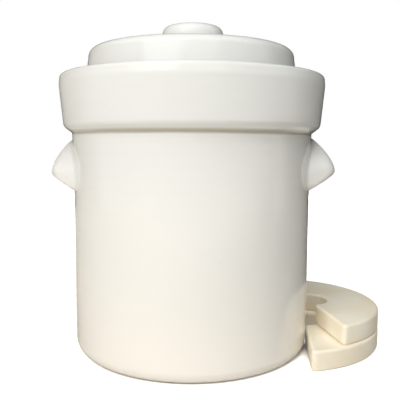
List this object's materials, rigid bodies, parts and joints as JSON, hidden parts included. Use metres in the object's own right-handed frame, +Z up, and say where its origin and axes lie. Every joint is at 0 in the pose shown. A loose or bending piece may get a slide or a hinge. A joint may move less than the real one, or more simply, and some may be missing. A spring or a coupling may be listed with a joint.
{
  "type": "fermentation crock",
  "caption": "Stoneware fermentation crock with a water gutter round its neck, lug handles, a knobbed cap lid standing in the gutter, and crescent weight stones stacked beside it.",
  "frame": {"origin": "centre of the crock's flat base, on the table it stands on", "axes": "+Z up along the crock's axis, X through the two handles, the weight stones at the +X side, the pictured front at -Y"},
  "size_m": [0.3593, 0.2774, 0.341],
  "materials": {
    "crock_glaze": "glossy warm white glaze",
    "lid_glaze": "glossy warm white glaze",
    "stone_clay": "smooth cream stoneware, satin"
  },
  "bodies": {
    "crock": {"crock_body": "crock_glaze", "water_gutter": "crock_glaze", "handle_left": "crock_glaze", "handle_right": "crock_glaze"},
    "lid": {"lid": "lid_glaze", "lid_knob": "lid_glaze"},
    "stone_lower": {"weight_stone_lower": "stone_clay"},
    "stone_upper": {"weight_stone_upper": "stone_clay"}
  },
  "joints": [
    {"name": "lid_lift", "type": "slide", "parent": "crock", "child": "lid", "axis": [0, 0, 1], "range_m": [0, 0.12]},
    {"name": "stone_lower_slide", "type": "slide", "parent": "crock", "child": "stone_lower", "axis": [1, 0, 0], "range_m": [0, 0.15]},
    {"name": "stone_upper_lift", "type": "slide", "parent": "stone_lower", "child": "stone_upper", "axis": [0, 0, 1], "range_m": [0, 0.1]}
  ]
}
